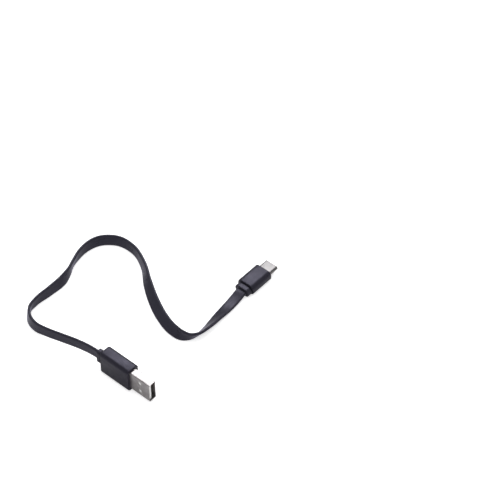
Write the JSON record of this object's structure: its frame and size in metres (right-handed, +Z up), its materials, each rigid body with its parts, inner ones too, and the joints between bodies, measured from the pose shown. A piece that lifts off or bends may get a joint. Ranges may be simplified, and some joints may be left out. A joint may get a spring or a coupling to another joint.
{
  "type": "charging cable",
  "caption": "Short flat ribbon charging cable with a USB-A plug and a USB-C plug, laid in one open loop; both plugs flex at their stepped strain reliefs.",
  "frame": {"origin": "on the surface the cable lies on, under the middle of the USB-A plug and its strain relief", "axes": "+X is the direction the USB-A plug is pushed in; +Y is the direction the USB-C plug is pushed in; +Z is up"},
  "size_m": [0.0969, 0.1135, 0.0148],
  "materials": {
    "plug_body": "satin black moulded plastic with a faint violet tint",
    "strain_relief": "satin black flexible moulding",
    "jacket": "satin black flexible jacket",
    "plug_shell": "nickel plated stamped steel, fairly bright",
    "insulator_white": "white moulded plastic",
    "insulator_black": "black moulded plastic",
    "contact": "gold plated copper alloy",
    "inner_mould": "off-white moulded plastic",
    "latch": "spring steel",
    "board": "green circuit board",
    "resistor": "black chip resistor",
    "wire_supply": "red insulation",
    "wire_data_minus": "white insulation",
    "wire_data_plus": "green insulation",
    "wire_ground": "black insulation"
  },
  "bodies": {
    "cable": {"cable_jacket": "jacket", "wire_data_minus": "wire_data_minus", "wire_data_plus": "wire_data_plus", "wire_ground": "wire_ground", "wire_supply": "wire_supply"},
    "usb_a_plug": {"usb_a_contact_data_minus": "contact", "usb_a_contact_data_plus": "contact", "usb_a_contact_ground": "contact", "usb_a_contact_supply": "contact", "usb_a_inner_mould": "inner_mould", "usb_a_insulator": "insulator_white", "usb_a_overmould": "plug_body", "usb_a_shell": "plug_shell", "usb_a_strain_relief": "strain_relief"},
    "usb_c_plug": {"usb_c_board": "board", "usb_c_contact_a1": "contact", "usb_c_contact_a2": "contact", "usb_c_contact_a3": "contact", "usb_c_contact_a4": "contact", "usb_c_contact_a5": "contact", "usb_c_contact_a6": "contact", "usb_c_contact_a7": "contact", "usb_c_contact_b1": "contact", "usb_c_contact_b2": "contact", "usb_c_contact_b3": "contact", "usb_c_contact_b4": "contact", "usb_c_contact_b5": "contact", "usb_c_inner_mould": "inner_mould", "usb_c_insulator": "insulator_black", "usb_c_latch_bridge": "latch", "usb_c_overmould": "plug_body", "usb_c_resistor": "resistor", "usb_c_shell": "plug_shell", "usb_c_strain_relief": "strain_relief"},
    "latch_left": {"usb_c_latch_left": "latch"},
    "latch_right": {"usb_c_latch_right": "latch"}
  },
  "joints": [
    {"name": "usb_a_flex", "type": "hinge", "parent": "cable", "child": "usb_a_plug", "pos_m": [-0.01625, 0, 0.0074], "axis": [0, 0, 1], "range_deg": [-20, 20], "stiffness_Nm_per_rad": 0.02, "deforming": ["usb_a_strain_relief", "wire_data_minus", "wire_data_plus", "wire_ground", "wire_supply"]},
    {"name": "usb_c_flex", "type": "hinge", "parent": "cable", "child": "usb_c_plug", "pos_m": [0.0055, 0.0837, 0.0031], "axis": [1, 0, 0], "range_deg": [0, 25], "stiffness_Nm_per_rad": 0.02, "deforming": ["usb_c_strain_relief", "wire_data_minus", "wire_data_plus", "wire_ground", "wire_supply"]},
    {"name": "latch_left_spread", "type": "hinge", "parent": "usb_c_plug", "child": "latch_left", "pos_m": [0.0025, 0.09945, 0.0031], "axis": [0, 0, 1], "range_deg": [0, 2], "stiffness_Nm_per_rad": 0.9},
    {"name": "latch_right_spread", "type": "hinge", "parent": "usb_c_plug", "child": "latch_right", "pos_m": [0.0085, 0.09945, 0.0031], "axis": [0, 0, 1], "range_deg": [-2, 0], "stiffness_Nm_per_rad": 0.9}
  ]
}
